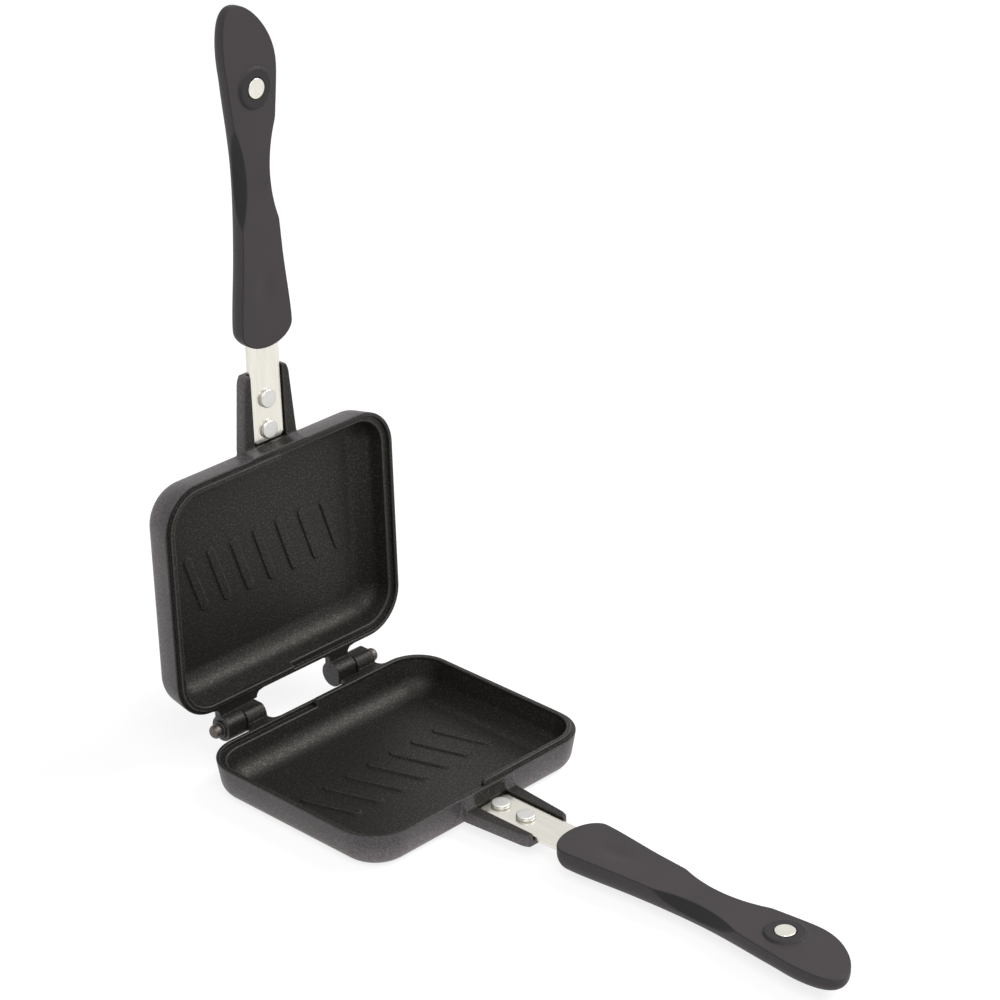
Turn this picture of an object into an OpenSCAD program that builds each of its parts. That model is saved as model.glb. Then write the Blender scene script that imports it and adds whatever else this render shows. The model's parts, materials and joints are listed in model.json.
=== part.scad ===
// Hinged toasting iron: two cast pans meet on a hinge line, and each pan carries
// a riveted steel tang with a moulded grip and a magnet. It is drawn standing open.
// X runs along the hinge line, Y from the handles to the hinge, Z up.
// The origin is under the middle of the lower pan, on the surface it stands on.

/* [Pan castings] */
// Width of a pan along the hinge line
pan_w = 140; // [125:1:155]
// Length of a pan from the handle side to the hinge side
pan_l = 114; // [100:1:130]
// Height of one pan from its base to the mating plane
pan_h = 18; // [16:0.5:24]
// Corner radius of the rim, seen from above
corner_r = 20.2; // [18:0.2:26]
// Fillet between the outer wall and the base
base_r = 7; // [3:0.5:8]
// Slope of the outer wall from upright, in degrees
wall_draft = 9.5; // [2:0.5:12]
// Thickness of the cooking floor
floor_t = 2.6; // [2:0.1:4]
// Slope of the cavity wall from upright, in degrees
cavity_draft = 14; // [4:0.5:18]
// Fillet between the cavity wall and the floor
cavity_r = 8; // [3:0.5:9]

/* [Rim] */
// Width of the rim round the cavity
rim_w = 4.4; // [4:0.1:6]
// Width of the flat ledge outside the tongue
ledge_w = 2.1; // [1.6:0.1:2.6]
// Height of the tongue on one half of the rim
tongue_h = 1.6; // [0.8:0.1:2.4]
// Gap round the tongue when the iron is shut
tongue_gap = 0.3; // [0.2:0.05:0.5]

/* [Floor bars] */
// Number of raised bars on each floor
bar_count = 7; // [3:1:8]
// Distance from one bar to the next
bar_pitch = 14; // [10:0.5:14]
// Length of a bar
bar_l = 30; // [20:1:44]
// Width of a bar
bar_w = 4.4; // [2:0.2:6]
// Height of a bar above the floor
bar_h = 0.9; // [0.3:0.1:1.5]
// Slant of the bars, in degrees
bar_slant = 18; // [0:1:30]

/* [Hinge] */
// Distance from the rim edge to the hinge axis
hinge_reach = 10.2; // [10.2:0.1:14]
// Radius of a knuckle
knuckle_r = 6.2; // [5:0.1:6.6]
// Height of the flat on a knuckle above the hinge axis
knuckle_flat = 4.9; // [4:0.1:6]
// Length of the inner knuckle, which is closed at its inner end
inner_knuckle_l = 11.6; // [9.4:0.2:14]
// Length of the outer knuckle, which the pin passes through
outer_knuckle_l = 11; // [9:0.5:14]
// Distance from the side of the pan to where the knuckles meet
knuckle_inset = 35; // [31:0.5:42]
// Gap between two knuckles side by side
knuckle_gap = 0.4; // [0.3:0.05:0.8]
// Radius of the collar outside the outer knuckle
collar_r = 4.2; // [3.8:0.1:5]
// Length of that collar
collar_l = 1.4; // [0.8:0.1:3]
// Thickness of the web between a knuckle and the pan
web_t = 3.8; // [2.5:0.1:5]
// Radius where the web spreads into the pan wall
web_fillet = 3.4; // [1:0.1:3.6]
// Opening angle at which the iron stands, in degrees
open_angle = 91.6; // [80:0.1:110]

/* [Hinge pins] */
// Diameter of a pin
pin_d = 4; // [3:0.1:5]
// Radial running clearance round a pin
pin_clear = 0.05; // [0.02:0.01:0.1]
// Diameter of the pin head
pin_head_d = 6.6; // [5.2:0.1:7]
// Length of the pin head
pin_head_l = 4.2; // [2:0.1:6]
// Depth of the pin in the closed knuckle
pin_seat = 8.5; // [5:0.1:9]

/* [Handle bracket] */
// Half width of the bracket at the pan
bracket_half = 16; // [15:0.1:20]
// Half width of the bracket at its end
bracket_end_half = 13.3; // [13:0.1:15]
// Length of the bracket beyond the rim
bracket_l = 36.5; // [32:0.5:46]
// Depth of the bracket's underside below the mating plane
bracket_under = 11.6; // [10.6:0.1:14]
// Height of a cheek above the tang
cheek_rise = 1.4; // [0.5:0.1:2.5]
// Gap between the tang and each cheek
cheek_gap = 0.4; // [0.3:0.05:1]
// Length of the steep root between the rim and the tang
root_l = 1.8; // [1.5:0.1:1.8]

/* [Tang] */
// Width of the steel tang
tang_w = 18.4; // [15:0.2:19]
// Thickness of the tang
tang_t = 1.8; // [1.2:0.1:2.5]
// Depth of the tang's face below the mating plane
tang_depth = 6.8; // [6:0.1:7.5]
// Distance from the rim edge to the tang's inner end
tang_start = 2.1; // [2.1:0.1:3]
// Length of the tang
tang_l = 100; // [88:1:104]
// Size of the cut corners at the tang's ends
tang_corner = 2; // [0.5:0.1:4]
// Diameter of the hole that the grip is moulded through
key_hole_d = 8; // [4:0.5:12]
// Distance from the tang's outer end to that hole
key_hole_in = 14; // [10:0.5:24]

/* [Rivets] */
// Diameter of a rivet head
rivet_head_d = 8.8; // [7:0.1:10]
// Height of a rivet head
rivet_head_h = 1.8; // [1:0.1:3]
// Diameter of a rivet shank
rivet_d = 4.4; // [3:0.1:5]
// Diameter of the closed end under the bracket
rivet_tail_d = 7.4; // [6:0.1:8]
// Height of the closed end
rivet_tail_h = 1.4; // [0.8:0.1:2]
// Distance from the rim edge to the inner rivet
rivet_start = 7.8; // [7.5:0.1:9]
// Distance between the two rivets
rivet_pitch = 15; // [12:0.1:18]

/* [Grips] */
// Distance from the rim edge to the front of the grip
grip_start = 48.5; // [40:0.5:60]
// Length of a grip
grip_l = 158; // [150:1:175]
// Depth of the grip's inner face below the mating plane
grip_face = 2.8; // [2.3:0.1:3.5]
// Thickness of the grip at its shoulder
shoulder_t = 14.6; // [12.5:0.1:15]
// Thickness of the grip at its waist
waist_t = 13; // [11:0.1:14]
// Thickness of the grip at its end lobe
lobe_t = 12.4; // [9.5:0.1:14]
// Width of the grip at its shoulder
shoulder_w = 29.4; // [26:0.2:34]
// Width of the grip at its arm
arm_w = 23.4; // [22:0.2:28]
// Width of the grip at its waist
waist_w = 20.8; // [20:0.2:24]
// Width of the grip at its end lobe
lobe_w = 29.4; // [26:0.2:34]
// Bevel round the inner face
edge_bevel = 0.5; // [0.2:0.1:1.2]
// Length of the rounded front end
front_l = 9; // [6:0.5:14]
// Length of the rounded tip
tip_l = 29.5; // [20:0.5:34]
// Sideways lean of the tip
tip_lean = 7.8; // [0:0.2:12]
// Distance before the rounded tip at which the lean starts
lean_start = 6; // [0:1:24]
// Radius of the finger scallops in the edges of the inner face
scallop_r = 70; // [56:1:84]
// Distance between the two scallops across the inner face
scallop_span = 14.2; // [12:0.2:17]
// Distance from the front of the grip to the middle of the scallops
scallop_s = 79; // [70:0.5:90]
// Slope of the scallops from upright, in degrees
scallop_slope = 26; // [15:1:35]

/* [Magnets] */
// Diameter of a magnet
magnet_d = 9.6; // [8:0.1:11]
// Thickness of a magnet
magnet_t = 3; // [2:0.1:3.5]
// Distance of a magnet from the tip of the grip
magnet_from_tip = 38.5; // [34:0.5:46]
// Sideways place of a magnet
magnet_x = 1.2; // [-3:0.1:3]
// Diameter of the raised boss round a magnet, at its foot
boss_d = 19; // [16:0.5:21]
// Height of that boss above the grip's inner face
boss_h = 1; // [0.6:0.1:1.2]
// Height of the magnet above the boss
magnet_rise = 0.3; // [0.1:0.1:0.5]

/* [Hidden] */
$fn = 64;
cut = 1;

rim_y = -pan_l / 2;
hinge_y = pan_l / 2 + hinge_reach;
knuckle_split = pan_w / 2 - knuckle_inset;
cavity_w = pan_w - 2 * rim_w;
cavity_l = pan_l - 2 * rim_w;
cavity_corner = corner_r - rim_w;
cavity_depth = pan_h - floor_t;
cavity_fillet = min(cavity_r, 0.55 * cavity_corner);
channel_half = tang_w / 2 + cheek_gap;
channel_depth = tang_depth + tang_t;
tang_y = rim_y - tang_start;
grip_y = rim_y - grip_start;
tip_s = grip_l - tip_l;
grip_tip_y = grip_y - grip_l;
magnet_y = grip_tip_y + magnet_from_tip;
magnet_top = grip_face - boss_h - magnet_rise;
// Share of the grip's thickness that its upright sides take
side_share = 0.2;

// Values along a grip: [distance from its front, value]
half_rows = [
    [0, shoulder_w / 2], [13, shoulder_w / 2], [45, arm_w / 2],
    [84, waist_w / 2], [tip_s, lobe_w / 2], [grip_l, lobe_w / 2]];
thick_rows = [
    [0, shoulder_t], [16, shoulder_t], [60, waist_t], [tip_s, lobe_t], [grip_l, lobe_t]];

// A smooth curve through the rows of a table
function slope(rows, i) =
    (i == 0 || i == len(rows) - 1) ? 0 :
    (rows[i + 1][1] - rows[i - 1][1]) / (rows[i + 1][0] - rows[i - 1][0]);
function row_at(rows, s, i = 0) =
    (i >= len(rows) - 2 || s <= rows[i + 1][0]) ? i : row_at(rows, s, i + 1);
function smooth(rows, s) =
    let (i = row_at(rows, s), a = rows[i], b = rows[i + 1], h = b[0] - a[0])
    let (t = min(1, max(0, (s - a[0]) / h)), u = 1 - t)
    a[1] * (1 + 2 * t) * u * u + b[1] * (3 - 2 * t) * t * t
        + slope(rows, i) * h * t * u * u - slope(rows, i + 1) * h * t * t * u;

// How far the rounded ends narrow the grip: 1 between them, 0 at the very end
function end_cap(s) =
    s < front_l ? sqrt(max(0, 1 - pow(1 - s / front_l, 2))) :
    s > tip_s ? sqrt(max(0, 1 - pow((s - tip_s) / tip_l, 2))) : 1;
function lean(s) = -tip_lean * pow(max(0, s - tip_s + lean_start) / (tip_l + lean_start), 2);
function grip_ring(s) =
    let (cap = end_cap(s), half = smooth(half_rows, s) * cap, bevel = edge_bevel * cap)
    let (end = s < front_l ? 0.6 + 0.4 * cap : cap)
    let (t = smooth(thick_rows, s) * end, side = side_share * t, x0 = lean(s))
    let (top = -grip_face, y = grip_y - s)
    concat(
        [[x0 - half + bevel, y, top], [x0 + half - bevel, y, top], [x0 + half, y, top - bevel]],
        [for (a = [0:20:180]) [x0 + half * cos(a), y, top - side - (t - side) * sin(a)]],
        [[x0 - half, y, top - bevel]]);
grip_stations = concat(
    [for (a = [15:15:75]) front_l * (1 - cos(a))],
    [for (i = [0:20]) front_l + i * (tip_s - front_l) / 20],
    [for (a = [15:15:75]) tip_s + tip_l * sin(a)],
    [tip_s + tip_l * sin(84)]);

module to_upper() {
    translate([0, hinge_y, pan_h])
        rotate([-open_angle, 0, 0])
            translate([0, -hinge_y, 0])
                rotate([0, 180, 0])
                    children();
}

module to_lower() {
    translate([0, 0, pan_h]) children();
}

// Carries a wall profile round a rounded rectangle. The profile's x is measured
// outward from the corner centres, so the wall's edge lies at x = r.
module round_the_rim(w, l, r) {
    for (k = [0:3]) {
        turned = k % 2;
        hx = (turned ? l : w) / 2 - r;
        hy = (turned ? w : l) / 2 - r;
        rotate([0, 0, 90 * k]) {
            translate([hx, hy, 0]) rotate_extrude(angle = 90) children();
            translate([hx, hy, 0]) rotate([90, 0, 0]) linear_extrude(2 * hy) children();
        }
    }
}

// Half section of a tray: sloping wall, round bottom corner, flat base
module tray_profile(r, h, draft, fillet, above) {
    cx = r - tan(draft) * (h - fillet) - fillet / cos(draft);
    cz = fillet - h;
    steps = 6;
    arc = [for (i = [0:steps])
        let (a = -draft - (90 - draft) * i / steps) [cx + fillet * cos(a), cz + fillet * sin(a)]];
    polygon(concat([[0, above], [r, above], [r, 0]], arc, [[0, -h]]));
}

// Solid tray with its mouth at z = above
module tray(w, l, r, h, draft, fillet, above = 0) {
    round_the_rim(w, l, r) tray_profile(r, h, draft, fillet, above);
    translate([r - w / 2, r - l / 2, -h]) cube([w - 2 * r, l - 2 * r, h + above]);
}

// Ring of the rim between two distances in from its edge
module rim_ring(outer, inner, z0, z1) {
    r = corner_r - outer;
    round_the_rim(pan_w - 2 * outer, pan_l - 2 * outer, r)
        translate([r - (inner - outer), z0]) square([inner - outer, z1 - z0]);
}

module tongue() {
    intersection() {
        rim_ring(ledge_w, rim_w, -cut, tongue_h);
        translate([tongue_gap, -pan_l, -2 * cut]) cube([pan_w, 2 * pan_l, tongue_h + 3 * cut]);
    }
}

module rebate() {
    depth = tongue_h + tongue_gap;
    intersection() {
        rim_ring(ledge_w - tongue_gap, rim_w + 2, -depth, cut);
        translate([-pan_w, -pan_l, -depth]) cube([pan_w, 2 * pan_l, depth + cut]);
    }
}

module floor_bars() {
    for (i = [0:bar_count - 1]) {
        x = (i - (bar_count - 1) / 2) * bar_pitch;
        straight = bar_l - bar_w;
        translate([x, 0, -cavity_depth - cut / 2]) rotate([0, 0, bar_slant]) {
            translate([-bar_w / 2, -straight / 2, 0]) cube([bar_w, straight, bar_h + cut / 2]);
            for (side = [-1, 1])
                translate([0, side * straight / 2, 0]) cylinder(d = bar_w, h = bar_h + cut / 2);
        }
    }
}

// Plan of the web behind a knuckle: the pan wall spreads out between x0 and x1
module web_plan(x0, x1) {
    wall_y = pan_l / 2 - rim_w + cut;
    difference() {
        translate([x0 - web_fillet, wall_y])
            square([x1 - x0 + 2 * web_fillet, pan_l / 2 + web_fillet - wall_y]);
        for (x = [x0 - web_fillet, x1 + web_fillet])
            translate([x, pan_l / 2 + web_fillet]) circle(r = web_fillet);
    }
}

// One knuckle between x0 and x1, on a web that spreads out between spread0 and spread1
module knuckle(x0, x1, spread0, spread1) {
    difference() {
        translate([x0, hinge_y, 0]) rotate([0, 90, 0]) cylinder(r = knuckle_r, h = x1 - x0);
        translate([x0 - cut, hinge_y - knuckle_r - cut, knuckle_flat])
            cube([x1 - x0 + 2 * cut, 2 * (knuckle_r + cut), knuckle_r]);
    }
    translate([x0, pan_l / 2, -web_t]) cube([x1 - x0, hinge_reach, web_t]);
    translate([0, 0, -web_t]) linear_extrude(web_t) web_plan(spread0, spread1);
}

module hinge_side() {
    inner_x = -knuckle_split + knuckle_gap / 2;
    inner_end = inner_x + inner_knuckle_l;
    knuckle(inner_x, inner_end, inner_x, inner_end);
    outer_x = knuckle_split + knuckle_gap / 2;
    outer_end = outer_x + outer_knuckle_l;
    knuckle(outer_x, outer_end, -inner_end, outer_end);
    translate([outer_end, hinge_y, 0]) rotate([0, 90, 0]) cylinder(r = collar_r, h = collar_l);
}

module hinge_bores() {
    translate([-knuckle_split - cut, hinge_y, 0])
        rotate([0, 90, 0]) cylinder(d = pin_d, h = cut + knuckle_gap / 2 + pin_seat);
    translate([knuckle_split - cut, hinge_y, 0])
        rotate([0, 90, 0]) cylinder(
            d = pin_d + 2 * pin_clear, h = outer_knuckle_l + collar_l + 3 * cut);
}

module bracket() {
    root_y = rim_y - root_l;
    end_y = rim_y - bracket_l;
    cheek_top = cheek_rise - tang_depth;
    inside_y = rim_y + rim_w;
    bevel = 3;
    translate([-bracket_half, 0, 0]) rotate([90, 0, 90]) linear_extrude(2 * bracket_half)
        polygon([
            [inside_y, 0], [rim_y, 0], [root_y, cheek_top],
            [root_y, -bracket_under], [inside_y, -bracket_under]]);
    for (side = [0, 1]) mirror([side, 0, 0])
        translate([0, 0, -bracket_under]) linear_extrude(bracket_under + cheek_top)
            polygon([
                [channel_half, root_y + cut], [bracket_half, root_y + cut],
                [bracket_half, root_y], [bracket_end_half, end_y + bevel],
                [bracket_end_half - bevel / 2, end_y], [channel_half, end_y]]);
    translate([-channel_half - cut / 2, end_y, -bracket_under])
        cube([2 * channel_half + cut, bracket_l - root_l + cut, bracket_under - channel_depth]);
}

module rivet_place(i) {
    translate([0, rim_y - rivet_start - i * rivet_pitch, -tang_depth]) children();
}

module casting() {
    color([0.20, 0.20, 0.21]) {
        difference() {
            union() {
                tray(pan_w, pan_l, corner_r, pan_h, wall_draft, base_r);
                hinge_side();
                bracket();
                tongue();
            }
            tray(cavity_w, cavity_l, cavity_corner, cavity_depth, cavity_draft,
                cavity_fillet, tongue_h + cut);
            rebate();
            hinge_bores();
            for (i = [0, 1])
                rivet_place(i) translate([0, 0, -bracket_under]) cylinder(d = rivet_d, h = bracket_under);
        }
        floor_bars();
    }
}

module hinge_pin() {
    reach = outer_knuckle_l + collar_l + knuckle_gap + pin_seat;
    color([0.62, 0.58, 0.54])
        translate([-knuckle_split - knuckle_gap / 2 - outer_knuckle_l - collar_l, hinge_y, 0])
            rotate([0, 90, 0]) rotate_extrude() polygon([
                [0, -pin_clear - pin_head_l], [pin_head_d / 2 - 1, -pin_clear - pin_head_l],
                [pin_head_d / 2, 1 - pin_clear - pin_head_l], [pin_head_d / 2, -pin_clear],
                [pin_d / 2, -pin_clear], [pin_d / 2, reach], [0, reach]]);
}

module tang() {
    half = tang_w / 2;
    c = tang_corner;
    color([0.88, 0.86, 0.82])
        translate([0, tang_y, -channel_depth]) linear_extrude(tang_t) difference() {
            polygon([
                [c - half, 0], [half - c, 0], [half, -c], [half, c - tang_l],
                [half - c, -tang_l], [c - half, -tang_l], [-half, c - tang_l], [-half, -c]]);
            for (i = [0, 1])
                translate([0, tang_start - rivet_start - i * rivet_pitch]) circle(d = rivet_d);
            translate([0, key_hole_in - tang_l]) circle(d = key_hole_d);
        }
}

module rivet(i) {
    under = bracket_under - tang_depth;
    edge = 0.5;
    color([0.82, 0.83, 0.82])
        rivet_place(i) rotate_extrude() polygon([
            [0, rivet_head_h], [rivet_head_d / 2 - edge, rivet_head_h],
            [rivet_head_d / 2, rivet_head_h - edge], [rivet_head_d / 2, 0], [rivet_d / 2, 0],
            [rivet_d / 2, -under], [rivet_tail_d / 2, -under],
            [rivet_tail_d / 2 - edge, -under - rivet_tail_h], [0, -under - rivet_tail_h]]);
}

module magnet_place() {
    translate([magnet_x, magnet_y, -magnet_top]) children();
}

module magnet() {
    color([0.80, 0.78, 0.72])
        magnet_place() translate([0, 0, -magnet_t]) cylinder(d = magnet_d, h = magnet_t);
}

module grip_body() {
    rings = [for (s = grip_stations) grip_ring(s)];
    n = len(rings[0]);
    last = len(rings) - 1;
    sides = [for (k = [0:last - 1]) for (i = [0:n - 1])
        let (j = (i + 1) % n) each [
            [k * n + i, (k + 1) * n + j, (k + 1) * n + i],
            [k * n + i, k * n + j, (k + 1) * n + j]]];
    front = [for (i = [n - 1:-1:0]) i];
    back = [for (i = [0:n - 1]) last * n + i];
    polyhedron([for (ring = rings) each ring], concat([front], sides, [back]));
}

module scallops() {
    reach = scallop_r * tan(scallop_slope) + shoulder_t;
    for (side = [-1, 1])
        translate([side * (scallop_span / 2 + scallop_r / cos(scallop_slope)),
            grip_y - scallop_s, -grip_face])
            rotate([0, -side * scallop_slope, 0])
                cylinder(r = scallop_r, h = 2 * reach, center = true, $fn = 180);
}

module boss() {
    wall = 1.6;
    translate([magnet_x, magnet_y, -grip_face]) {
        cylinder(d1 = boss_d, d2 = boss_d - wall, h = boss_h);
        translate([0, 0, -cut]) cylinder(d = boss_d, h = cut);
    }
}

module grip() {
    color([0.24, 0.23, 0.23]) difference() {
        union() {
            grip_body();
            boss();
        }
        scallops();
        tang();
        magnet_place() translate([0, 0, -magnet_t]) cylinder(d = magnet_d, h = magnet_t + cut);
    }
}

to_lower() casting();  // lower_pan
to_upper() casting();  // upper_pan
to_lower() hinge_pin();  // hinge_pin_left
to_upper() hinge_pin();  // hinge_pin_right
to_lower() tang();  // lower_tang
to_upper() tang();  // upper_tang
to_lower() rivet(0);  // lower_inner_rivet
to_lower() rivet(1);  // lower_outer_rivet
to_upper() rivet(0);  // upper_inner_rivet
to_upper() rivet(1);  // upper_outer_rivet
to_lower() grip();  // lower_grip
to_upper() mirror([1, 0, 0]) grip();  // upper_grip
to_lower() magnet();  // lower_magnet
to_upper() mirror([1, 0, 0]) magnet();  // upper_magnet
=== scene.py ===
"""Looks of a hinged toasting iron that stands open: two cast pans, two grips and their small parts.

Each casting and grip is written as a field, a formula that is negative inside the piece and gives
about the distance to its surface. A mesh is then laid on the surface where the field is zero, so
every edge, fillet and hollow is round as on the real piece. Lengths are in millimetres, in the
casting's own frame: X along the hinge, Y towards the hinge and Z up from the plane where the pans
meet. Sizes of grain, the lamps and the floor are in metres.
"""

import json
import math

import bmesh
import bpy
import numpy as np
from mathutils import Matrix, Vector


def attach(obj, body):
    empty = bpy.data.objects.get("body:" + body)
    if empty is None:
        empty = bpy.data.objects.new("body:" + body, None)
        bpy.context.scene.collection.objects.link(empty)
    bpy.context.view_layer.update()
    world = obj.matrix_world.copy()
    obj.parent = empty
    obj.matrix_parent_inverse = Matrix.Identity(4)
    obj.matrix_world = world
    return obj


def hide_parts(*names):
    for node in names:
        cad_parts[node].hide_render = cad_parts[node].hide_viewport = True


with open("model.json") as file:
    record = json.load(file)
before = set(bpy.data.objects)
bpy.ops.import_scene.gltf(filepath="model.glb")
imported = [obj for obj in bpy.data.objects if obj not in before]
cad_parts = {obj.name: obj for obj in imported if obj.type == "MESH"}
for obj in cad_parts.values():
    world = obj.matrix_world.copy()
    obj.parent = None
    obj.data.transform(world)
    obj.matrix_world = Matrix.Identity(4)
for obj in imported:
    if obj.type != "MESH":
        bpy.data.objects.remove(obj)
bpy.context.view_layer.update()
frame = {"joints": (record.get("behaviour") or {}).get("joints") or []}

MM = 0.001
TINY = 1e-9

# How far bars and bosses reach into what carries them, and bores out past what they cut
overlap = 1.0

# Pan casting. The rim lies seam below the plane where the pans meet.
pan_w, pan_l, pan_h = 140.0, 114.0, 18.0
corner_r, base_r, wall_draft = 20.2, 7.0, math.radians(9.5)
cavity_depth, cavity_r, cavity_draft = 15.4, 8.0, math.radians(14)
rim_w, ledge_w, tongue_h, tongue_gap = 4.4, 2.1, 1.6, 0.3
tongue_end_r, edge_r, step_r, foot_r = 1.0, 0.5, 0.4, 0.3
seam = 0.03

# Raised bars on the cooking floor
bar_count, bar_pitch, bar_l, bar_w, bar_h = 7, 14.0, 30.0, 4.4, 0.9
bar_slant = math.radians(18)

# Hinge, at the joint of the frame
joint = frame["joints"][0]
hinge_y, mate_z = joint["pos_m"][1] / MM, joint["pos_m"][2] / MM
open_angle = math.radians(joint["range_deg"][1])
knuckle_r, knuckle_flat, knuckle_gap, knuckle_split = 6.2, 5.4, 0.4, 35.0
inner_knuckle_l, outer_knuckle_l = 11.6, 11.0
collar_r, collar_l = 4.2, 1.4
web_t, web_fillet = 3.8, 3.4
pin_d, pin_clear, pin_head_d, pin_head_l, pin_seat = 4.0, 0.05, 6.6, 4.2, 8.5
pin_dome, pin_head_bevel, pin_bevel = 2.2, 0.5, 0.4

# Handle bracket and tang
rim_y = -pan_l / 2
bracket_half, bracket_end_half, bracket_l, bracket_under = 16.0, 13.3, 36.5, 11.6
cheek_gap, cheek_rise, root_l, bracket_bevel = 0.4, 1.4, 1.8, 3.0
cast_r, cast_fillet = 0.8, 1.4
tang_w, tang_t, tang_depth, tang_start, tang_l = 18.4, 1.8, 6.8, 2.1, 100.0
tang_corner, tang_edge, key_hole_d, key_hole_in = 2.0, 0.25, 8.0, 14.0
channel_half, channel_depth = tang_w / 2 + cheek_gap, tang_depth + tang_t

# Rivets. A share of the head is flat, and the rest rounds off over rivet_crown.
rivet_head_d, rivet_head_h, rivet_d = 8.8, 1.8, 4.4
rivet_tail_d, rivet_tail_h, rivet_start, rivet_pitch = 7.4, 1.4, 7.8, 15.0
rivet_crown, rivet_flat_share, rivet_bevel = 0.7, 0.55, 0.15

# Grips and magnets. The rows are (distance from the front of the grip, value). The tip and the
# belly are drawn in by skin, because the CAD grip's facets lie inside the true curve.
grip_y, grip_l, grip_face = rim_y - 48.5, 158.0, 2.8
front_l, tip_l, tip_lean, lean_start = 9.0, 29.5, 7.8, 6.0
tip_s = grip_l - tip_l
half_rows = [[0, 14.7], [13, 14.7], [45, 11.7], [84, 10.4], [tip_s, 14.7], [grip_l, 14.7]]
thick_rows = [[0, 14.6], [16, 14.6], [60, 13], [tip_s, 12.4], [grip_l, 12.4]]
side_share, belly_power, face_edge_r, skin = 0.2, 2.1, 0.5, 0.2
scallop_r, scallop_span, scallop_s, scallop_slope = 70.0, 14.2, 79.0, math.radians(26)
thumb_s, thumb_l, thumb_w, thumb_depth = 28.0, 7.5, 4.5, 0.6
magnet_d, magnet_t, magnet_x, magnet_y = 9.6, 3.0, 1.2, grip_y - grip_l + 38.5
boss_d, boss_h, boss_wall, boss_r, magnet_rise = 19.0, 1.0, 0.8, 0.5, 0.3
magnet_top = grip_face - boss_h - magnet_rise
magnet_gap, magnet_edge_r, magnet_bevel, magnet_rings = 0.25, 0.35, 0.2, (1.0, 0.8)
slot_gap = 0.1


# Fields and the ways to join them ---------------------------------------------------------

def round_max(a, b, r):
    """What is inside both, with the edge between them rounded to radius r."""
    corner = np.hypot(np.maximum(a + r, 0), np.maximum(b + r, 0))
    return np.minimum(np.maximum(a, b), -r) + corner


def round_min(a, b, r):
    """What is inside either, with a fillet of radius r between them."""
    return -round_max(-a, -b, r)


def between(v, low, high):
    return np.maximum(low - v, v - high)


def beside(a, b, run_a, run_b):
    """Distance to the right of the line from the origin to (run_a, run_b)."""
    return (a * run_b - b * run_a) / math.hypot(run_a, run_b)


def rim_distance(x, y):
    """Distance outward from the rim's outline, seen from above."""
    qx = np.abs(x) - (pan_w / 2 - corner_r)
    qy = np.abs(y) - (pan_l / 2 - corner_r)
    corner = np.hypot(np.maximum(qx, 0), np.maximum(qy, 0))
    return corner + np.minimum(np.maximum(qx, qy), 0) - corner_r


def cavity(x, y, z):
    wall = rim_distance(x, y) + rim_w - math.tan(cavity_draft) * np.minimum(z, 0)
    return round_max(wall * math.cos(cavity_draft), -cavity_depth - z, cavity_r)


def tray(x, y, z):
    """Outside of the pan, with the tongue on the +X half of its rim."""
    rim = rim_distance(x, y)
    wall = (rim - math.tan(wall_draft) * z) * math.cos(wall_draft)
    body = round_max(round_max(wall, -pan_h - z, base_r), z + seam, edge_r)
    tongue = round_max(rim + ledge_w, z - tongue_h, step_r)
    tongue = np.maximum(tongue, -2 * tongue_h - z)
    tongue = round_max(tongue, tongue_gap - x, tongue_end_r)
    return round_min(body, tongue, foot_r)


def rebate(x, y, z):
    """Step on the -X half of the rim that takes the other pan's tongue."""
    rim = rim_distance(x, y)
    step = np.maximum(rim + ledge_w - tongue_gap, -tongue_h - tongue_gap - z)
    return np.maximum(step, x)


def floor_bars(x, y, z):
    """Slanted bars with round ends. Field of the nearest one."""
    straight = (bar_l - bar_w) / 2
    nearest = math.inf
    for i in range(bar_count):
        dx = x - (i - (bar_count - 1) / 2) * bar_pitch
        along = y * math.cos(bar_slant) - dx * math.sin(bar_slant)
        across = dx * math.cos(bar_slant) + y * math.sin(bar_slant)
        far = np.maximum(np.abs(along) - straight, 0)
        nearest = np.minimum(nearest, np.hypot(across, far) - bar_w / 2)
    bars = round_max(nearest, z + cavity_depth - bar_h, foot_r)
    return np.maximum(bars, -cavity_depth - overlap - z)


def knuckle(x, y, z, x0, x1, spread0, spread1):
    """Barrel between x0 and x1 on a web that spreads out along the wall."""
    barrel = round_max(np.hypot(y - hinge_y, z) - knuckle_r, z - knuckle_flat, edge_r)
    barrel = round_max(barrel, between(x, x0, x1), edge_r)
    wall = y - pan_l / 2
    strip = np.maximum(between(x, x0, x1), y - hinge_y)
    plateau = np.maximum(between(x, spread0, spread1), wall - web_fillet)
    plan = np.minimum(strip, round_min(plateau, wall, web_fillet))
    plan = np.maximum(plan, between(x, spread0 - web_fillet, spread1 + web_fillet))
    web = round_max(plan, between(z, -web_t, -seam), step_r)
    web = np.maximum(web, -web_fillet - wall)
    return round_min(barrel, web, foot_r)


def hinge(x, y, z):
    """Closed knuckle near the middle of one side, and the outer one with its collar."""
    inner_x = -knuckle_split + knuckle_gap / 2
    inner_end = inner_x + inner_knuckle_l
    outer_x = knuckle_split + knuckle_gap / 2
    outer_end = outer_x + outer_knuckle_l
    collar = np.hypot(y - hinge_y, z) - collar_r
    collar = round_max(collar, between(x, outer_x, outer_end + collar_l), step_r)
    inner = knuckle(x, y, z, inner_x, inner_end, inner_x, inner_end)
    outer = knuckle(x, y, z, outer_x, outer_end, -inner_end, outer_end)
    return np.minimum(np.minimum(inner, outer), collar)


def bores(x, y, z):
    """Holes for the two hinge pins and the two rivets."""
    pin = np.hypot(y - hinge_y, z) - pin_d / 2 - pin_clear
    blind = np.maximum(pin, between(x, -knuckle_split - overlap, -knuckle_split + pin_seat))
    through = np.maximum(pin, knuckle_split - overlap - x)
    holes = np.minimum(blind, through)
    for i in range(2):
        rivet = np.hypot(x, y - rivet_y(i)) - rivet_d / 2
        holes = np.minimum(holes, rivet)
    return holes


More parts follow.
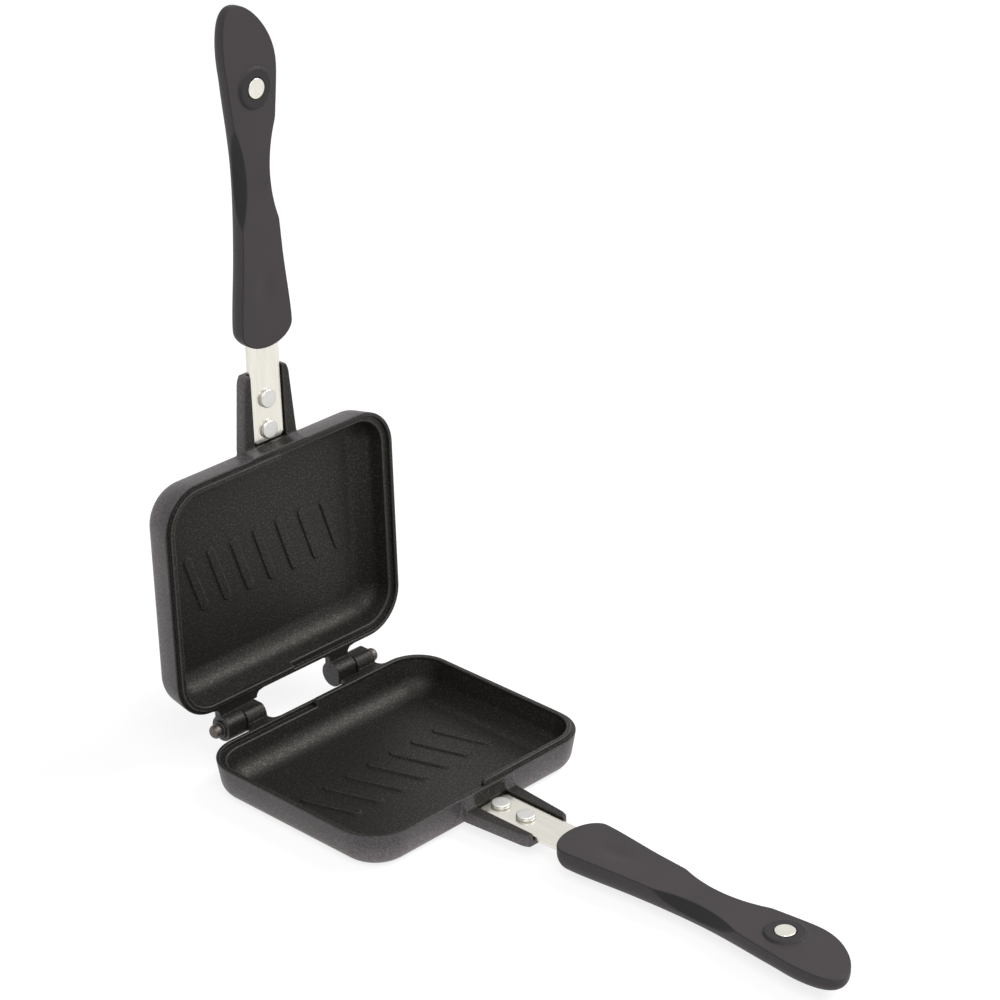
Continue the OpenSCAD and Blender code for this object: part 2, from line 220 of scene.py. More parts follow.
def rivet_y(i):
    return rim_y - rivet_start - i * rivet_pitch


def bracket(x, y, z):
    """Sloping root, two tapered cheeks and the floor of the channel that the tang lies in."""
    side = np.abs(x)
    root_y, end_y = rim_y - root_l, rim_y - bracket_l
    cheek_top = cheek_rise - tang_depth
    bevel_y = end_y + bracket_bevel
    slope = beside(y - rim_y, z, -root_l, cheek_top)
    top = round_min(z - cheek_top, round_max(slope, z + seam, edge_r), cast_fillet)
    narrowing = bracket_half - bracket_end_half
    taper = beside(side - bracket_half, y - root_y, narrowing, root_y - bevel_y)
    plan = np.maximum(side - bracket_half, taper)
    bevel = beside(side - bracket_end_half, y - bevel_y, bracket_bevel / 2, bracket_bevel)
    plan = round_max(round_max(plan, bevel, cast_r), end_y - y, cast_r)
    plan = np.maximum(plan, y - rim_y - rim_w)
    block = round_max(round_max(plan, top, cast_r), -bracket_under - z, cast_r)
    channel = np.maximum(-channel_depth - z, y - root_y)
    channel = np.maximum(channel, side - channel_half)
    return round_max(block, -channel, edge_r)


def lid(x, y, z):
    """Plane where the pans meet, open over the tongue and the hinge barrels."""
    tongue = np.maximum(rim_distance(x, y) + ledge_w - foot_r, -x)
    barrel = hinge_y - knuckle_r - foot_r - y
    return np.minimum(np.minimum(tongue, barrel), z + seam)


def casting(x, y, z):
    """The whole pan: what is cast on is joined, and then what is hollow is cut."""
    body = round_min(tray(x, y, z), bracket(x, y, z), cast_fillet)
    body = round_min(body, hinge(x, y, z), cast_r)
    body = np.maximum(body, lid(x, y, z))
    body = round_max(body, -rebate(x, y, z), step_r)
    body = round_max(body, -cavity(x, y, z), edge_r)
    body = round_min(body, floor_bars(x, y, z), foot_r)
    return np.maximum(body, -bores(x, y, z))


def tang(x, y, z):
    """Flat steel strip with cut corners, two rivet holes and the hole inside the grip."""
    start_y = rim_y - tang_start
    middle_y = start_y - tang_l / 2
    side, end = np.abs(x) - tang_w / 2, np.abs(y - middle_y) - tang_l / 2
    plan = np.maximum(np.maximum(side, end), (side + end + tang_corner) / math.sqrt(2))
    for i in range(2):
        plan = np.maximum(plan, rivet_d / 2 - np.hypot(x, y - rivet_y(i)))
    key_y = start_y - tang_l + key_hole_in
    plan = np.maximum(plan, key_hole_d / 2 - np.hypot(x, y - key_y))
    return round_max(plan, between(z, -channel_depth, -tang_depth), tang_edge)


def curve(rows, s):
    """Smooth curve through rows of (distance from the front, value), level at both ends."""
    at, value = np.array(rows, float).T
    rise = np.zeros(len(at))
    rise[1:-1] = (value[2:] - value[:-2]) / (at[2:] - at[:-2])
    i = np.clip(np.searchsorted(at, s) - 1, 0, len(at) - 2)
    span = at[i + 1] - at[i]
    t = np.clip((s - at[i]) / span, 0, 1)
    u = 1 - t
    flat = value[i] * (1 + 2 * t) * u * u + value[i + 1] * (3 - 2 * t) * t * t
    return flat + span * t * u * (rise[i] * u - rise[i + 1] * t)


def scallop(x, y, z, side):
    """Slanted round cut along one edge of the grip's inner face."""
    axis_x = side * (scallop_span / 2 + scallop_r / math.cos(scallop_slope))
    across = (x - axis_x) * math.cos(scallop_slope)
    across = across + side * (z + grip_face) * math.sin(scallop_slope)
    return np.hypot(across, y - grip_y + scallop_s) - scallop_r


def grip(x, y, z):
    """Lower grip. Its belly is a rounded form under the flat face that looks at the other grip."""
    s = grip_y - y
    half, thick = curve(half_rows, s), curve(thick_rows, s)
    lean = -tip_lean * (np.maximum(0, s - tip_s + lean_start) / (tip_l + lean_start)) ** 2
    dx = x - lean
    ends = np.maximum(0, 1 - s / front_l) + np.maximum(0, (s - tip_s) / (tip_l - skin))
    side = side_share * thick
    depth = np.maximum(0, -grip_face - side - z) / (thick - side - skin)
    plan = np.hypot(dx / half, ends)
    ball = (plan ** belly_power + depth ** belly_power) ** (1 / belly_power)
    thumb = thumb_depth * np.exp(-(dx / thumb_w) ** 2 - ((s - thumb_s) / thumb_l) ** 2)
    rise = z + grip_face
    body = round_max((ball - 1) * half, rise + thumb, face_edge_r)
    for cut_side in (-1, 1):
        body = round_max(body, -scallop(x, y, z, cut_side), step_r)
    r = np.hypot(x - magnet_x, y - magnet_y)
    boss = round_max(r - boss_d / 2 + boss_wall * rise, rise - boss_h, boss_r)
    body = round_min(body, np.maximum(boss, -overlap - rise), foot_r)
    hole = r - magnet_d / 2
    body = round_max(body, -np.maximum(hole, -magnet_top - magnet_t - z), foot_r / 2)
    slot = np.maximum(np.abs(x) - tang_w / 2, between(z, -channel_depth, -tang_depth))
    slot = np.maximum(slot, rim_y - tang_start - tang_l - y)
    return np.maximum(body, slot_gap - slot)


def mirrored_grip(x, y, z):
    return grip(-x, y, z)


# Meshes laid on the fields ----------------------------------------------------------------

# Planes of the grid that are worked out at a time, so that memory stays small
SLAB = 16


def sample(field, axes):
    """Field on a grid, worked out a slab at a time."""
    xs, ys, zs = axes
    values = np.empty((len(xs), len(ys), len(zs)), np.float32)
    for i in range(0, len(xs), SLAB):
        x = xs[i:i + SLAB, None, None]
        values[i:i + SLAB] = field(x, ys[None, :, None], zs[None, None, :])
    return values


def net(values, axes):
    """One point in each grid cell that the surface crosses, and quads between them."""
    inside = values < 0
    cells = tuple(n - 1 for n in inside.shape)
    corners = np.zeros(cells, np.int8)
    for i in (0, 1):
        for j in (0, 1):
            for k in (0, 1):
                corners += inside[i:i + cells[0], j:j + cells[1], k:k + cells[2]]
    crossed = (corners > 0) & (corners < 8)
    number = np.full(cells, -1, np.int32)
    number[crossed] = np.arange(np.count_nonzero(crossed))
    index = np.nonzero(crossed)
    points = np.stack([(a[i] + a[i + 1]) / 2 for a, i in zip(axes, index)], 1)
    quads = []
    for axis in range(3):
        order = (axis, (axis + 1) % 3, (axis + 2) % 3)
        here, cell = inside.transpose(order), number.transpose(order)
        first, second = here[:-1, 1:-1, 1:-1], here[1:, 1:-1, 1:-1]
        ring = [cell[:, :-1, :-1], cell[:, 1:, :-1], cell[:, 1:, 1:], cell[:, :-1, 1:]]
        for out, corner_order in ((first & ~second, ring), (second & ~first, ring[::-1])):
            quads.append(np.stack([c[out] for c in corner_order], 1))
    return points, np.concatenate(quads)


def gradient(field, points):
    """Slope of the field at each point, from its values a little to each side."""
    reach = 0.04
    parts = []
    for axis in range(3):
        shift = np.zeros(3)
        shift[axis] = reach
        parts.append(field(*(points + shift).T) - field(*(points - shift).T))
    return np.stack(parts, 1) / (2 * reach)


def directions(field, points):
    """Slope of the field as vectors of length 1, which point outward."""
    slope = gradient(field, points)
    slope /= np.maximum(np.linalg.norm(slope, axis=1), TINY)[:, None]
    return slope


def settle(field, points, most, rounds):
    """Moves the points onto the surface, each by no more than most in a round."""
    least_steep = 0.05
    for _ in range(rounds):
        slope = gradient(field, points)
        steep = np.maximum((slope ** 2).sum(1), least_steep)
        move = field(*points.T) / steep
        length = np.abs(move) * np.sqrt(steep)
        move *= np.minimum(1, most / np.maximum(length, TINY))
        points = points - move[:, None] * slope
    return points


def relax(points, quads):
    """Moves each point halfway to the mean of its neighbours."""
    pairs = np.concatenate([quads[:, [i, (i + 1) % 4]] for i in range(4)])
    pairs = np.concatenate([pairs, pairs[:, ::-1]])
    count = np.bincount(pairs[:, 0], minlength=len(points))
    sums = [np.bincount(pairs[:, 0], points[pairs[:, 1], a], len(points)) for a in range(3)]
    mean = np.stack(sums, 1) / np.maximum(count, 1)[:, None]
    return (points + mean) / 2


def surface(name, field, low, high, step, keep):
    """Mesh on the field's surface, thinned to the share keep where it is flat."""
    axes = [np.arange(a, b + step, step) for a, b in zip(low, high)]
    points, quads = net(sample(field, axes), axes)
    points = settle(field, points, most=step / 2, rounds=3)
    points = settle(field, relax(points, quads), most=step / 3, rounds=2)
    mesh = bpy.data.meshes.new(name)
    mesh.from_pydata(points.tolist(), [], quads.tolist())
    thinned = thin(mesh, keep)
    set_normals(thinned, field)
    return thinned


def thin(mesh, keep):
    """Copy of the mesh with the share keep of its faces."""
    helper = bpy.data.objects.new("helper", mesh)
    bpy.context.scene.collection.objects.link(helper)
    decimate = helper.modifiers.new("thin", "DECIMATE")
    decimate.ratio = keep
    graph = bpy.context.evaluated_depsgraph_get()
    thinned = bpy.data.meshes.new_from_object(helper.evaluated_get(graph))
    bpy.data.objects.remove(helper)
    return thinned


def mesh_points(mesh):
    points = np.empty(len(mesh.vertices) * 3)
    mesh.vertices.foreach_get("co", points)
    return points.reshape(-1, 3)


def set_normals(mesh, field):
    """Smooth shading with the field's own slope as the normals."""
    normals = directions(field, mesh_points(mesh))
    mesh.shade_smooth()
    mesh.normals_split_custom_set_from_vertices(normals.tolist())


def lathe(name, outline, turns=72):
    """Mesh of an outline of (radius, height) points, which starts and ends on Z, turned about Z."""
    same_place, crease = 1e-4, math.radians(50)
    bm = bmesh.new()
    verts = [bm.verts.new((r, 0, h)) for r, h in outline]
    edges = [bm.edges.new(pair) for pair in zip(verts, verts[1:])]
    bmesh.ops.spin(
        bm, geom=verts + edges, axis=(0, 0, 1), cent=(0, 0, 0), angle=2 * math.pi,
        steps=turns, use_merge=True)
    bmesh.ops.remove_doubles(bm, verts=bm.verts, dist=same_place)
    bmesh.ops.recalc_face_normals(bm, faces=bm.faces)
    mesh = bpy.data.meshes.new(name)
    bm.to_mesh(mesh)
    bm.free()
    mesh.shade_smooth()
    mesh.set_sharp_from_angle(angle=crease)
    return mesh


def arc(cx, cy, r, start, stop, steps=6):
    """Points on an arc from one angle to another, in degrees."""
    turns = [math.radians(start + (stop - start) * i / steps) for i in range(steps + 1)]
    return [(cx + r * math.cos(a), cy + r * math.sin(a)) for a in turns]


# Placing ----------------------------------------------------------------------------------

# From the casting's frame to the part's. The upper half is turned over about Y and then opened.
to_lower = Matrix.Translation((0, 0, mate_z))
to_upper = (
    Matrix.Translation((0, hinge_y, mate_z)) @ Matrix.Rotation(-open_angle, 4, "X")
    @ Matrix.Translation((0, -hinge_y, 0)) @ Matrix.Rotation(math.pi, 4, "Y"))
HALVES = {"lower": to_lower, "upper": to_upper}


def piece(name, mesh, half, material, inner=Matrix.Identity(4)):
    """Object that stands for the CAD node of its name, placed on the half that it rides on.

    Each point keeps its place on the casting, so that grain runs alike on both halves.
    """
    mesh = mesh.copy()
    mesh.name = name
    mesh.transform(inner)
    own_place = mesh.attributes.new("own_place", "FLOAT_VECTOR", "POINT")
    own_place.data.foreach_set("vector", (mesh_points(mesh) * MM).ravel())
    mesh.transform(Matrix.Scale(MM, 4) @ HALVES[half])
    mesh.materials.append(material)
    obj = bpy.data.objects.new(name + "_look", mesh)
    bpy.context.scene.collection.objects.link(obj)
    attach(obj, half + "_half")
    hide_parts(name)
    return obj


# Small turned parts -----------------------------------------------------------------------

def rivet_mesh():
    """Rivet with its head on the tang at height 0 and its tail under the bracket."""
    under, head, tail = bracket_under - tang_depth, rivet_head_d / 2, rivet_tail_d / 2
    crown, tail_z = rivet_crown, -under - rivet_tail_h
    outline = [(0, rivet_head_h), (head * rivet_flat_share, rivet_head_h)]
    outline += arc(head - crown, rivet_head_h - crown, crown, 90, 0)
    outline += [(head, rivet_bevel), (head - rivet_bevel, 0)]
    outline += [(rivet_d / 2, 0), (rivet_d / 2, -under), (tail - rivet_bevel, -under)]
    outline += arc(tail - crown, tail_z + crown, crown, 0, -90)
    outline += [(0, tail_z)]
    return lathe("rivet", outline)


def pin_mesh():
    """Hinge pin whose domed head ends just short of height 0, where the collar starts."""
    head, reach = pin_head_d / 2, outer_knuckle_l + collar_l + knuckle_gap + pin_seat
    outer = -pin_clear - pin_head_l
    outline = [(0, outer), (head - pin_dome, outer)]
    outline += arc(head - pin_dome, outer + pin_dome, pin_dome, -90, 0, steps=10)
    outline += [(head, -pin_clear - pin_head_bevel), (head - pin_head_bevel, -pin_clear)]
    outline += [(pin_d / 2, -pin_clear), (pin_d / 2, reach - pin_bevel)]
    outline += [(pin_d / 2 - pin_bevel, reach), (0, reach)]
    return lathe("pin", outline)


def magnet_mesh():
    """Disc whose face is at height 0. Two rings on the face keep its shading flat."""
    r, edge = magnet_d / 2 - magnet_gap, magnet_edge_r
    outline = [(0, 0)] + [(r - inset, 0) for inset in magnet_rings]
    outline += arc(r - edge, -edge, edge, 90, 0)
    outline += [(r, -magnet_t + magnet_bevel), (r - magnet_bevel, -magnet_t), (0, -magnet_t)]
    return lathe("magnet", outline)


# Materials --------------------------------------------------------------------------------

def principled(name, **values):
    """Material whose shader sockets are set by name, with _ for a space."""
    material = bpy.data.materials.new(name)
    material.use_nodes = True
    shader = material.node_tree.nodes["Principled BSDF"]
    for socket, value in values.items():
        shader.inputs[socket.replace("_", " ")].default_value = value
    return material


def add(material, kind, **values):
    """New node in a material or world, with its sockets set by name, with _ for a space."""
    node = material.node_tree.nodes.new("ShaderNode" + kind)
    for socket, value in values.items():
        node.inputs[socket.replace("_", " ")].default_value = value
    return node


def join(material, source, target):
    material.node_tree.links.new(source, target)


def noise(material, size, detail=3.0, rough=0.5, stretch=(1, 1, 1)):
    """Noise with grains of about this size in metres, stretched along the piece's axes."""
    place = add(material, "Attribute")
    place.attribute_name = "own_place"
    mapping = add(material, "Mapping")
    mapping.inputs["Scale"].default_value = [1 / s for s in stretch]
    texture = add(material, "TexNoise", Scale=1 / size, Detail=detail, Roughness=rough)
    join(material, place.outputs["Vector"], mapping.inputs["Vector"])
    join(material, mapping.outputs["Vector"], texture.inputs["Vector"])
    return texture.outputs["Fac"]


def spread(material, source, part, onto):
    """Maps one part of a noise, from low to high, onto another range."""
    node = add(
        material, "MapRange", From_Min=part[0], From_Max=part[1], To_Min=onto[0], To_Max=onto[1])
    join(material, source, node.inputs["Value"])
    return node.outputs["Result"]


def blend_colours(material, factor, low, high):
    """Blend of two colours, each a tuple or the output of a node."""
    node = add(material, "Mix")
    node.data_type = "RGBA"
    sockets = [s for s in node.inputs if s.type == "RGBA"]
    for socket, colour in zip(sockets, (low, high)):
        if isinstance(colour, tuple):
            socket.default_value = (*colour, 1)
        else:
            join(material, colour, socket)
    join(material, factor, node.inputs["Factor"])
    return next(s for s in node.outputs if s.type == "RGBA")


def bump(material, height, distance, strength, under=None):
    """Bump of this depth in metres, laid over another one if under is given."""
    node = add(material, "Bump", Strength=strength, Distance=distance)
    join(material, height, node.inputs["Height"])
    if under is not None:
        join(material, under, node.inputs["Normal"])
    return node.outputs["Normal"]


def wire(material, **sources):
    """Joins sources to the shader's sockets, which are named with _ for a space."""
    shader = material.node_tree.nodes["Principled BSDF"]
    for socket, source in sources.items():
        join(material, source, shader.inputs[socket.replace("_", " ")])


def blend_values(material, factor, low, high):
    """Blend of two worked-out numbers, low where the factor is 0."""
    node = add(material, "Mix")
    join(material, factor, node.inputs["Factor"])
    numbers = [socket for socket in node.inputs if socket.type == "VALUE"][1:]
    join(material, low, numbers[0])
    join(material, high, numbers[1])
    return next(socket for socket in node.outputs if socket.type == "VALUE")


def kept_mark(material, name):
    """Number between 0 and 1 that mark() keeps at each point of a mesh."""
    node = add(material, "Attribute")
    node.attribute_name = name
    return node.outputs["Fac"]


def coated_casting():
    """Speckled black coat on the cooking side and as painted shade, running out into a plainer
    grey-black finish with painted light.
    """
    m = principled("coated_casting", Specular_IOR_Level=0.3, Specular_Tint=(1, 0.95, 0.88, 1))
    black, speck, painted_edge_highlight = (0.0065, 0.006, 0.0055), (0.046, 0.042, 0.037), (0.10, 0.094, 0.09)
    # The _painted_bounce colours are the walls' lighter tone low down: painted light from the floor
    dull_high, dull_painted_bounce = (0.05, 0.047, 0.052), (0.12, 0.107, 0.111)
    light_high, light_painted_bounce = (0.105, 0.098, 0.103), (0.235, 0.21, 0.212)
    # Where the black coat shows, partly as painted shade, and how low a point lies, for painted
    # floor light
    coat_and_painted_shade, low = kept_mark(m, "coat_and_painted_shade"), kept_mark(m, "low")
    grain, cloud = noise(m, 0.0009, detail=2.0, rough=0.6), noise(m, 0.02)
    coat = blend_colours(m, spread(m, grain, (0.5, 0.72), (0, 1)), black, speck)
    dull = blend_colours(m, low, dull_high, dull_painted_bounce)
    light = blend_colours(m, low, light_high, light_painted_bounce)
    wall = blend_colours(m, spread(m, grain, (0.38, 0.68), (0, 1)), dull, light)
    colour = blend_colours(m, coat_and_painted_shade, wall, coat)
    # Sharp outer edges lightened towards a pale grey: a painted highlight
    edge_highlight_share = spread(m, kept_mark(m, "edge"), (0, 1), (0, 0.4))
    colour = blend_colours(m, edge_highlight_share, colour, painted_edge_highlight)
    coat_gloss = spread(m, grain, (0.35, 0.7), (0.56, 0.36))
    wall_gloss = spread(m, cloud, (0.3, 0.7), (0.42, 0.5))
    gloss = blend_values(m, coat_and_painted_shade, wall_gloss, coat_gloss)
    normal = bump(m, cloud, distance=0.0002, strength=0.12)
    normal = bump(m, grain, distance=0.00012, strength=0.5, under=normal)
    wire(m, Base_Color=colour, Roughness=gloss, Normal=normal)
    return m


def brushed_steel():
    """Strip steel, brushed along its length."""
    m = principled("brushed_steel", Metallic=1.0)
    dull, bright, streak = (0.66, 0.635, 0.57), (0.80, 0.775, 0.71), (0.42, 0.39, 0.33)
    lines = noise(m, 0.0004, rough=0.6, stretch=(1, 60, 1))
    cloud = noise(m, 0.008, rough=0.6, stretch=(1, 4, 1))
    colour = blend_colours(m, cloud, dull, bright)
    colour = blend_colours(m, spread(m, lines, (0.5, 0.75), (0, 0.3)), colour, streak)
    gloss = spread(m, lines, (0.3, 0.7), (0.16, 0.28))
    normal = bump(m, lines, distance=0.00004, strength=0.5)
    wire(m, Base_Color=colour, Roughness=gloss, Normal=normal)
    return m


def turned_metal(name, metallic, cloud_size, dull, bright, shine):
    """Clouded metal with a faint grain of tool marks, whose roughness runs over shine."""
    m = principled(name, Metallic=metallic)
    cloud, grain = noise(m, cloud_size), noise(m, 0.0004)
    colour = blend_colours(m, cloud, dull, bright)
    gloss = spread(m, grain, (0.3, 0.7), shine)
    normal = bump(m, grain, distance=0.00003, strength=0.5)
    wire(m, Base_Color=colour, Roughness=gloss, Normal=normal)
    return m


def rivet_aluminium():
    """Satin aluminium."""
    dull, bright = (0.58, 0.575, 0.55), (0.72, 0.715, 0.69)
    return turned_metal("rivet_aluminium", 1.0, 0.002, dull, bright, (0.38, 0.55))


def pin_steel():
    """Dark steel, slightly browned."""
    dull, bright = (0.08, 0.07, 0.064), (0.17, 0.15, 0.135)
    return turned_metal("pin_steel", 0.8, 0.0015, dull, bright, (0.34, 0.5))


def grip_plastic():
    """Matte moulded plastic with a fine spark-eroded grain, darker edges and painted shade in the
    cuts.
    """
    m = principled("grip_plastic", Specular_IOR_Level=0.35)
    dark, pale = (0.030, 0.0245, 0.0255), (0.043, 0.0355, 0.0375)
    painted_cut_shade, dark_edge = (0.0085, 0.0075, 0.0075), (0.014, 0.0125, 0.013)
    grain, cloud = noise(m, 0.0004, detail=2.0, rough=0.7), noise(m, 0.025)
    colour = blend_colours(m, cloud, dark, pale)
    # Painted shade in the finger cuts, and a darker tone on the magnet's boss
    colour = blend_colours(m, kept_mark(m, "scalloped"), colour, painted_cut_shade)
    edge = spread(m, kept_mark(m, "edge"), (0, 1), (0, 0.6))
    colour = blend_colours(m, edge, colour, dark_edge)
    gloss = spread(m, grain, (0.3, 0.7), (0.5, 0.64))
    normal = bump(m, grain, distance=0.00006, strength=0.6)
    wire(m, Base_Color=colour, Roughness=gloss, Normal=normal)
    return m


def magnet_nickel():
    """Plain nickel plate with fine scratches."""
    m = principled("magnet_nickel", Metallic=1.0)
    dull, bright = (0.66, 0.64, 0.58), (0.80, 0.78, 0.72)
    scratches = noise(m, 0.0004, detail=2.0, stretch=(1, 25, 1))
    colour = blend_colours(m, noise(m, 0.003), dull, bright)
    gloss = spread(m, scratches, (0.35, 0.65), (0.24, 0.4))
    normal = bump(m, scratches, distance=0.00002, strength=0.4)
    wire(m, Base_Color=colour, Roughness=gloss, Normal=normal)
    return m


# The object -------------------------------------------------------------------------------

def step_up(value, low, high):
    """0 below low, 1 above high and a smooth rise between them."""
    t = np.clip((value - low) / (high - low), 0, 1)
    return t * t * (3 - 2 * t)


def mark(mesh, name, values):
    """Keeps a number between 0 and 1 at each point, for the materials."""
    layer = mesh.attributes.new(name, "FLOAT", "POINT")
    layer.data.foreach_set("value", np.clip(values, 0, 1))


def edge_share(field, points):
    """1 on sharp outer edges and 0 on faces, hollows and wide curves.

    It sums how far the field rises on all six sides, which tells how curved the surface is.
    """
    reach, least, full = 0.35, 0.5, 1.6
    around = -6 * field(*points.T)
    for axis in range(3):
        for way in (-reach, reach):
            shift = np.zeros(3)
            shift[axis] = way
            around = around + field(*(points + shift).T)
    return step_up(around / reach ** 2, least, full)


def mark_casting(mesh, field):
    """Marks the dark faces, the sharp edges, and how low a point lies on the walls.

    Dark are the cavity, the rim's step and the bracket's root and channel, which are coated; all
    that faces the other pan, which is coat on the rim and painted shade on tops such as the
    cheeks'; and the hinge barrels apart from their outer ends, as painted shade. Sharp edges get a
    painted highlight and the low walls painted light from the floor. The two numbers of each
    step_up are where a mark starts and where it is full.
    """
    points = mesh_points(mesh)
    x, y, z = points.T
    facing = directions(field, points)
    # Up-facing faces near the other pan: coat on the rim, painted shade on tops such as the cheeks'
    top = step_up(facing[:, 2], 0.35, 0.75) * step_up(z, -8, -6)
    inside = step_up(-cavity(x, y, z), -0.9, -0.3)
    stepped = step_up(-rim_distance(x, y), ledge_w - 0.5, ledge_w - 0.3) * step_up(z, -4, -3)
    root = step_up(rim_y - y, -0.5, 0) * step_up(channel_half - np.abs(x), -0.5, 0)
    root = root * step_up(z, -channel_depth - 0.8, -channel_depth - 0.2)
    # Round sides of the hinge barrels and faces between the knuckles, made dark as painted shade
    split = step_up(-np.abs(np.abs(x) - knuckle_split), -1.2, -0.7)
    round_side = step_up(1 - np.abs(facing[:, 0]), 0.3, 0.6)
    hinge_zone = step_up(y - pan_l / 2, 1, 3)
    barrel = hinge_zone * np.maximum(round_side, split)
    coat_and_painted_shade = np.maximum.reduce([top, inside, stepped, root, barrel])
    mark(mesh, "coat_and_painted_shade", coat_and_painted_shade)
    # Sharp outer edges away from the hinge, which the casting's material lightens as a painted
    # highlight
    mark(mesh, "edge", edge_share(field, points) * (1 - hinge_zone))
    # How low a point lies, which lightens the lower walls as painted light from the floor
    mark(mesh, "low", step_up(-z, 2, 15))


def mark_grip(mesh, field, mirror):
    """Marks the finger cuts for painted shade, less strongly the magnet's boss, and the edges."""
    points = mesh_points(mesh)
    x, y, z = points.T
    cuts = np.minimum(scallop(mirror * x, y, z, -1), scallop(mirror * x, y, z, 1))
    around = np.hypot(mirror * x - magnet_x, y - magnet_y)
    boss = 0.7 * step_up(-around, -boss_d / 2 - boss_wall, -boss_d / 2)
    boss = boss * step_up(z + grip_face, 0, 0.2)
    mark(mesh, "scalloped", np.maximum(boss, step_up(-np.abs(cuts), -0.25, -0.1)))
    mark(mesh, "edge", edge_share(field, points))


# Room round each piece in the box that its mesh is laid in
room, pan_side_room, strip_room = 1.5, 2, 1
strip_half, grip_half, grip_deep = 11, 20, 16


def pan_surface():
    side = pan_w / 2 + pan_side_room
    low = (-side, rim_y - bracket_l - room, -pan_h - room)
    high = (side, hinge_y + knuckle_r + room, knuckle_flat + room)
    pan = surface("pan", casting, low, high, step=0.5, keep=0.4)
    mark_casting(pan, casting)
    return pan


def strip_surface():
    low = (-strip_half, rim_y - tang_start - tang_l - room, -channel_depth - strip_room)
    high = (strip_half, rim_y - tang_start + strip_room, -tang_depth + strip_room)
    return surface("strip", tang, low, high, step=0.4, keep=0.3)


def grip_surface(field, mirror):
    low = (-grip_half, grip_y - grip_l - room, -grip_face - grip_deep)
    high = (grip_half, grip_y + room, -grip_face + room)
    mesh = surface("grip", field, low, high, step=0.45, keep=0.5)
    mark_grip(mesh, field, mirror)
    return mesh


def build_object():
    """Makes the pan, strip and grip meshes once, and places each piece on every half that has it.
    """
    coating, steel, aluminium = coated_casting(), brushed_steel(), rivet_aluminium()
    pin, nickel, plastic = pin_steel(), magnet_nickel(), grip_plastic()
    pan, strip = pan_surface(), strip_surface()
    grips = {"lower": grip_surface(grip, 1), "upper": grip_surface(mirrored_grip, -1)}
    turned_x = Matrix.Rotation(math.pi / 2, 4, "Y")
    pin_x = -knuckle_split - knuckle_gap / 2 - outer_knuckle_l - collar_l
    pin_place = Matrix.Translation((pin_x, hinge_y, 0)) @ turned_x
    for half, pin_name, mirror in (("lower", "left", 1), ("upper", "right", -1)):
        piece(half + "_pan", pan, half, coating)
        piece("hinge_pin_" + pin_name, pin_mesh(), half, pin, pin_place)
        piece(half + "_tang", strip, half, steel)
        piece(half + "_grip", grips[half], half, plastic)
        for i, place_name in enumerate(("inner", "outer")):
            place = Matrix.Translation((0, rivet_y(i), -tang_depth))
            name = half + "_" + place_name + "_rivet"
            piece(name, rivet_mesh(), half, aluminium, place)
        place = Matrix.Translation((mirror * magnet_x, magnet_y, -magnet_top))
        piece(half + "_magnet", magnet_mesh(), half, nickel, place)


# Camera, light and floor ------------------------------------------------------------------

# Angles in degrees, and the camera's place from the middle of the lower rim in millimetres
cam_azimuth, cam_elevation, cam_roll = -46.1459, 25.9541, -0.61834
cam_right, cam_up, cam_back = 46.572, 109.298, 1516.46
cam_lens, cam_sensor, cam_near, cam_far = 120.68, 36.0, 0.01, 20

# Strength of the world's light at the horizon, and from sky_top up (the sine of the height)
sky_low, sky_high, sky_top = 0.36, 0.3, 0.9

# How much light the floor gives back, how pale its paint looks, and how much of the white that
# the camera sees is glow, which lights nothing
floor_half, floor_bounce, floor_paint, floor_glow = 6.0, 0.93, 0.36, 0.8

# Each lamp's name, place, diameter and power
LAMPS = (("key", (1.15, -0.75, 1.5), 1.1, 22), ("fill", (-0.9, -1.1, 1.7), 1.4, 17))
lamp_target = Vector((0, 0, 0.08))


def make_camera():
    """Camera at the photograph's viewing angle, placed from the middle of the lower rim."""
    azimuth, elevation, roll = (math.radians(a) for a in (cam_azimuth, cam_elevation, cam_roll))
    back = Vector((
        math.sin(azimuth) * math.cos(elevation), -math.cos(azimuth) * math.cos(elevation),
        math.sin(elevation)))
    level = Vector((0, 0, 1)).cross(back).normalized()
    upright = back.cross(level)
    right = math.cos(roll) * level + math.sin(roll) * upright
    up = -math.sin(roll) * level + math.cos(roll) * upright
    place = right * cam_right + up * cam_up + back * cam_back + Vector((0, 0, mate_z))
    data = bpy.data.cameras.new("camera")
    data.lens, data.sensor_width = cam_lens, cam_sensor
    data.clip_start, data.clip_end = cam_near, cam_far
    camera = bpy.data.objects.new("camera", data)
    turn = Matrix((right, up, back)).transposed().to_4x4()
    camera.matrix_world = Matrix.Translation(place * MM) @ turn
    bpy.context.scene.collection.objects.link(camera)
    bpy.context.scene.camera = camera


def seen_directly(owner):
    """1 for camera, glossy and transmission rays, and 0 for the rays that carry light."""
    rays = add(owner, "LightPath")
    total = rays.outputs["Is Camera Ray"]
    for name in ("Is Glossy Ray", "Is Transmission Ray"):
        node = add(owner, "Math")
        node.operation = "MAXIMUM"
        join(owner, total, node.inputs[0])
        join(owner, rays.outputs[name], node.inputs[1])
        total = node.outputs[0]
    return total


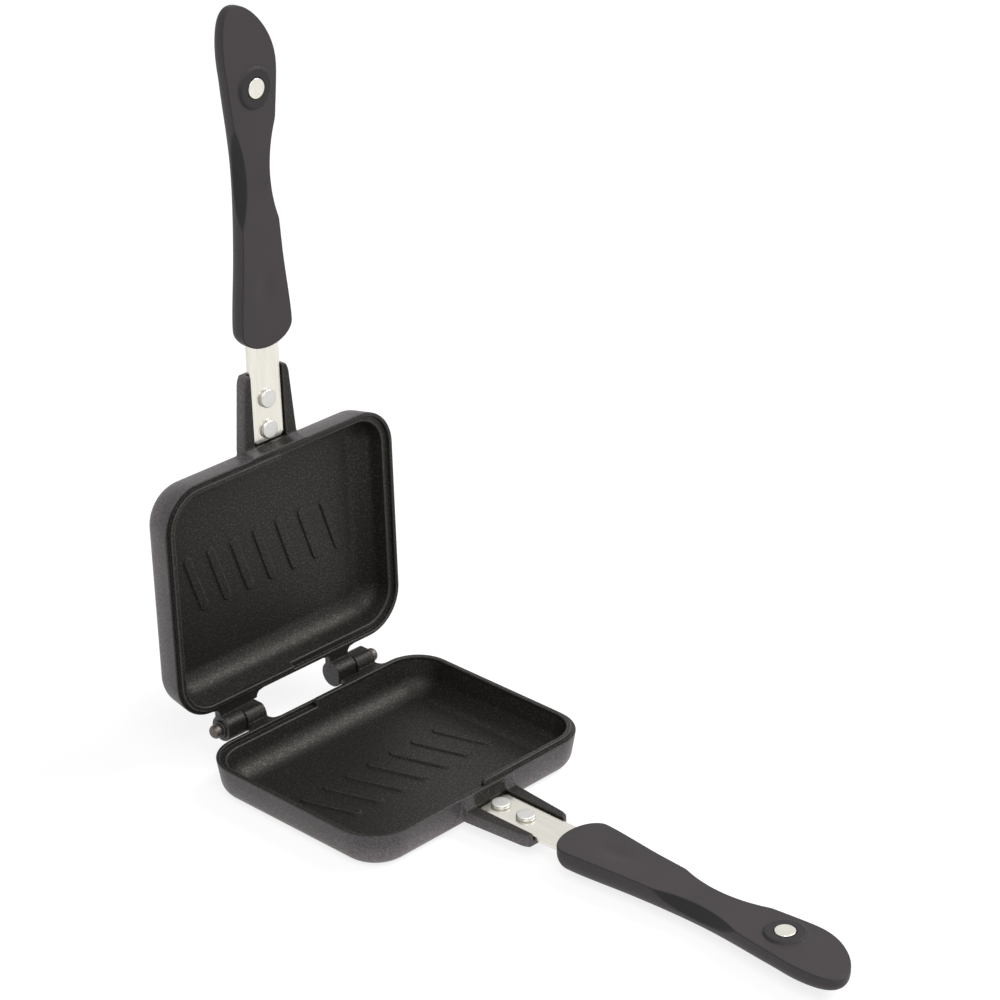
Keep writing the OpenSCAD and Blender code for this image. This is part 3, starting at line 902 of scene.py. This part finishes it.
def make_world():
    """White to the eye and in reflections. The light that it gives is a little less overhead."""
    world = bpy.data.worlds.new("studio")
    world.use_nodes = True
    bpy.context.scene.world = world
    background = world.node_tree.nodes["Background"]
    background.inputs["Color"].default_value = (1, 1, 1, 1)
    direction, height = add(world, "TexCoord"), add(world, "SeparateXYZ")
    join(world, direction.outputs["Generated"], height.inputs["Vector"])
    light = add(world, "MapRange", From_Max=sky_top, To_Min=sky_low, To_Max=sky_high)
    light.interpolation_type = "SMOOTHSTEP"
    join(world, height.outputs["Z"], light.inputs["Value"])
    strength = add(world, "MapRange", To_Max=1.0)
    join(world, light.outputs["Result"], strength.inputs["To Min"])
    join(world, seen_directly(world), strength.inputs["Value"])
    join(world, strength.outputs["Result"], background.inputs["Strength"])


def make_floor():
    """Pale floor that shows white where no shadow falls."""
    half = floor_half
    mesh = bpy.data.meshes.new("floor")
    corners = [(-half, -half, 0), (half, -half, 0), (half, half, 0), (-half, half, 0)]
    mesh.from_pydata(corners, [], [(0, 1, 2, 3)])
    material = bpy.data.materials.new("pale_floor")
    material.use_nodes = True
    material.node_tree.nodes.clear()
    seen = seen_directly(material)
    paint, glow = add(material, "BsdfDiffuse"), add(material, "Emission")
    shade = add(material, "MapRange", To_Min=floor_bounce, To_Max=floor_paint)
    join(material, seen, shade.inputs["Value"])
    join(material, shade.outputs["Result"], paint.inputs["Color"])
    strength = add(material, "MapRange", To_Max=floor_glow)
    join(material, seen, strength.inputs["Value"])
    join(material, strength.outputs["Result"], glow.inputs["Strength"])
    both, output = add(material, "AddShader"), add(material, "OutputMaterial")
    join(material, paint.outputs["BSDF"], both.inputs[0])
    join(material, glow.outputs["Emission"], both.inputs[1])
    join(material, both.outputs["Shader"], output.inputs["Surface"])
    mesh.materials.append(material)
    floor = bpy.data.objects.new("floor", mesh)
    bpy.context.scene.collection.objects.link(floor)


def make_lamp(name, place, size, power):
    """Round soft lamp that looks at the object."""
    data = bpy.data.lights.new(name, "AREA")
    data.shape, data.size, data.energy = "DISK", size, power
    lamp = bpy.data.objects.new(name, data)
    lamp.location = place
    lamp.rotation_euler = (lamp_target - Vector(place)).to_track_quat("-Z", "Y").to_euler()
    bpy.context.scene.collection.objects.link(lamp)


build_object()
make_camera()
make_world()
make_floor()
for lamp_row in LAMPS:
    make_lamp(*lamp_row)
bpy.context.scene.view_settings.view_transform = "Standard"
